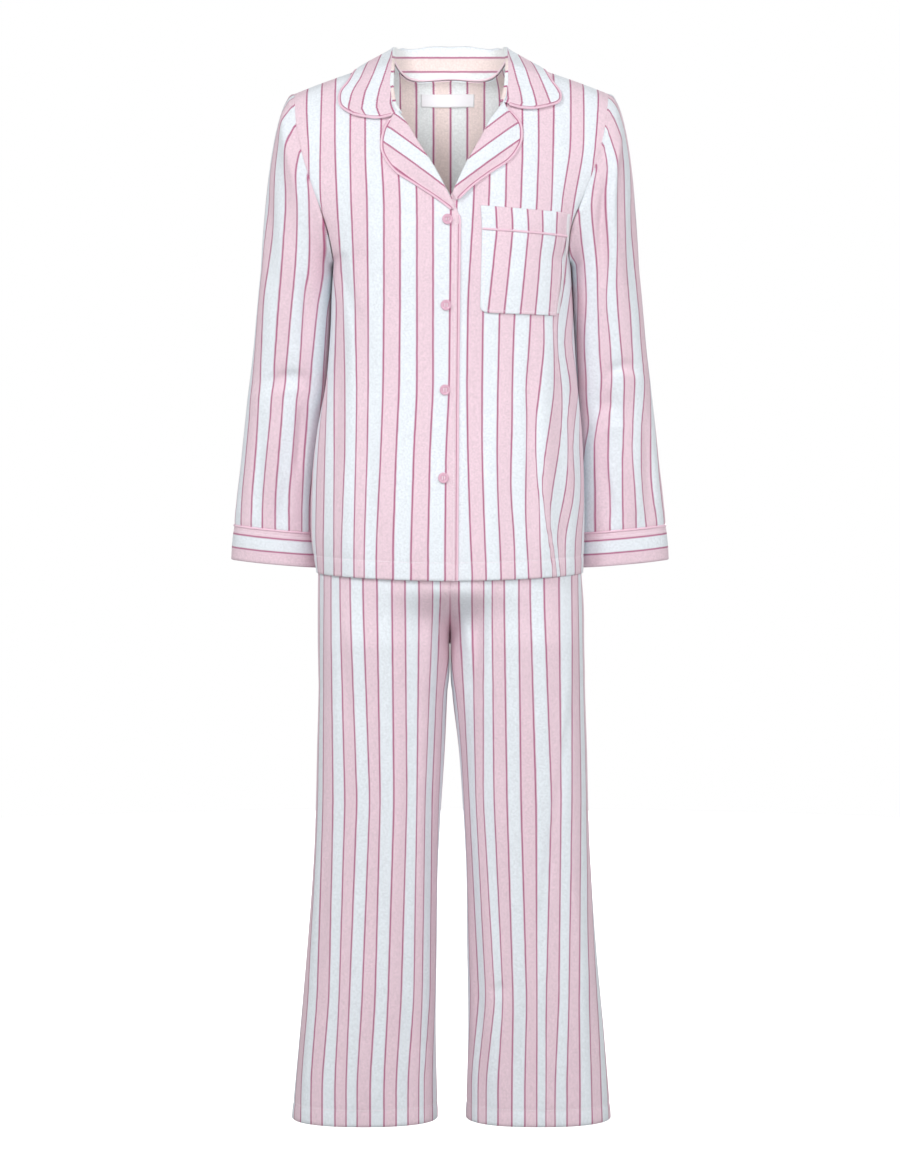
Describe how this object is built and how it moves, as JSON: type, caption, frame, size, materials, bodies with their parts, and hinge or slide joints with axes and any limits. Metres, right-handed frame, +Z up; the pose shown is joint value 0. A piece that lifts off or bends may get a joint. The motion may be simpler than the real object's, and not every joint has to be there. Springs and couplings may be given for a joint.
{
  "type": "pyjama set",
  "caption": "Two-piece sleepwear set in striped cotton: a buttoned long-sleeved shirt with a turned collar and chest pocket, and long straight trousers, hollow as if worn",
  "frame": {"origin": "inside the neck opening at the height of the shoulders, where the wearer carries the shirt", "axes": "+X toward the wearer's left, +Y toward the wearer's back, +Z up"},
  "size_m": [0.5956, 0.2441, 1.4529],
  "materials": {
    "striped_cotton": "soft woven cotton with pale pink and white stripes edged in raspberry",
    "pink_piping": "satin-covered cord",
    "pink_button": "smooth, slightly pearly",
    "white_satin": "white woven satin, left bare"
  },
  "bodies": {
    "root": {"back": "striped_cotton", "button_1": "pink_button", "button_2": "pink_button", "button_3": "pink_button", "button_4": "pink_button", "collar": "striped_cotton", "cuff_left": "striped_cotton", "cuff_right": "striped_cotton", "front_left": "striped_cotton", "front_right": "striped_cotton", "lapel_left": "striped_cotton", "lapel_right": "striped_cotton", "neck_label": "white_satin", "piping_collar": "pink_piping", "piping_cuff_left": "pink_piping", "piping_cuff_right": "pink_piping", "piping_front_right": "pink_piping", "piping_lapel_left": "pink_piping", "piping_lapel_right": "pink_piping", "piping_pocket": "pink_piping", "pocket": "striped_cotton", "pocket_band": "striped_cotton", "sleeve_left": "striped_cotton", "sleeve_right": "striped_cotton", "trouser_back_left": "striped_cotton", "trouser_back_right": "striped_cotton", "trouser_front_left": "striped_cotton", "trouser_front_right": "striped_cotton", "waistband": "striped_cotton"}
  },
  "joints": []
}
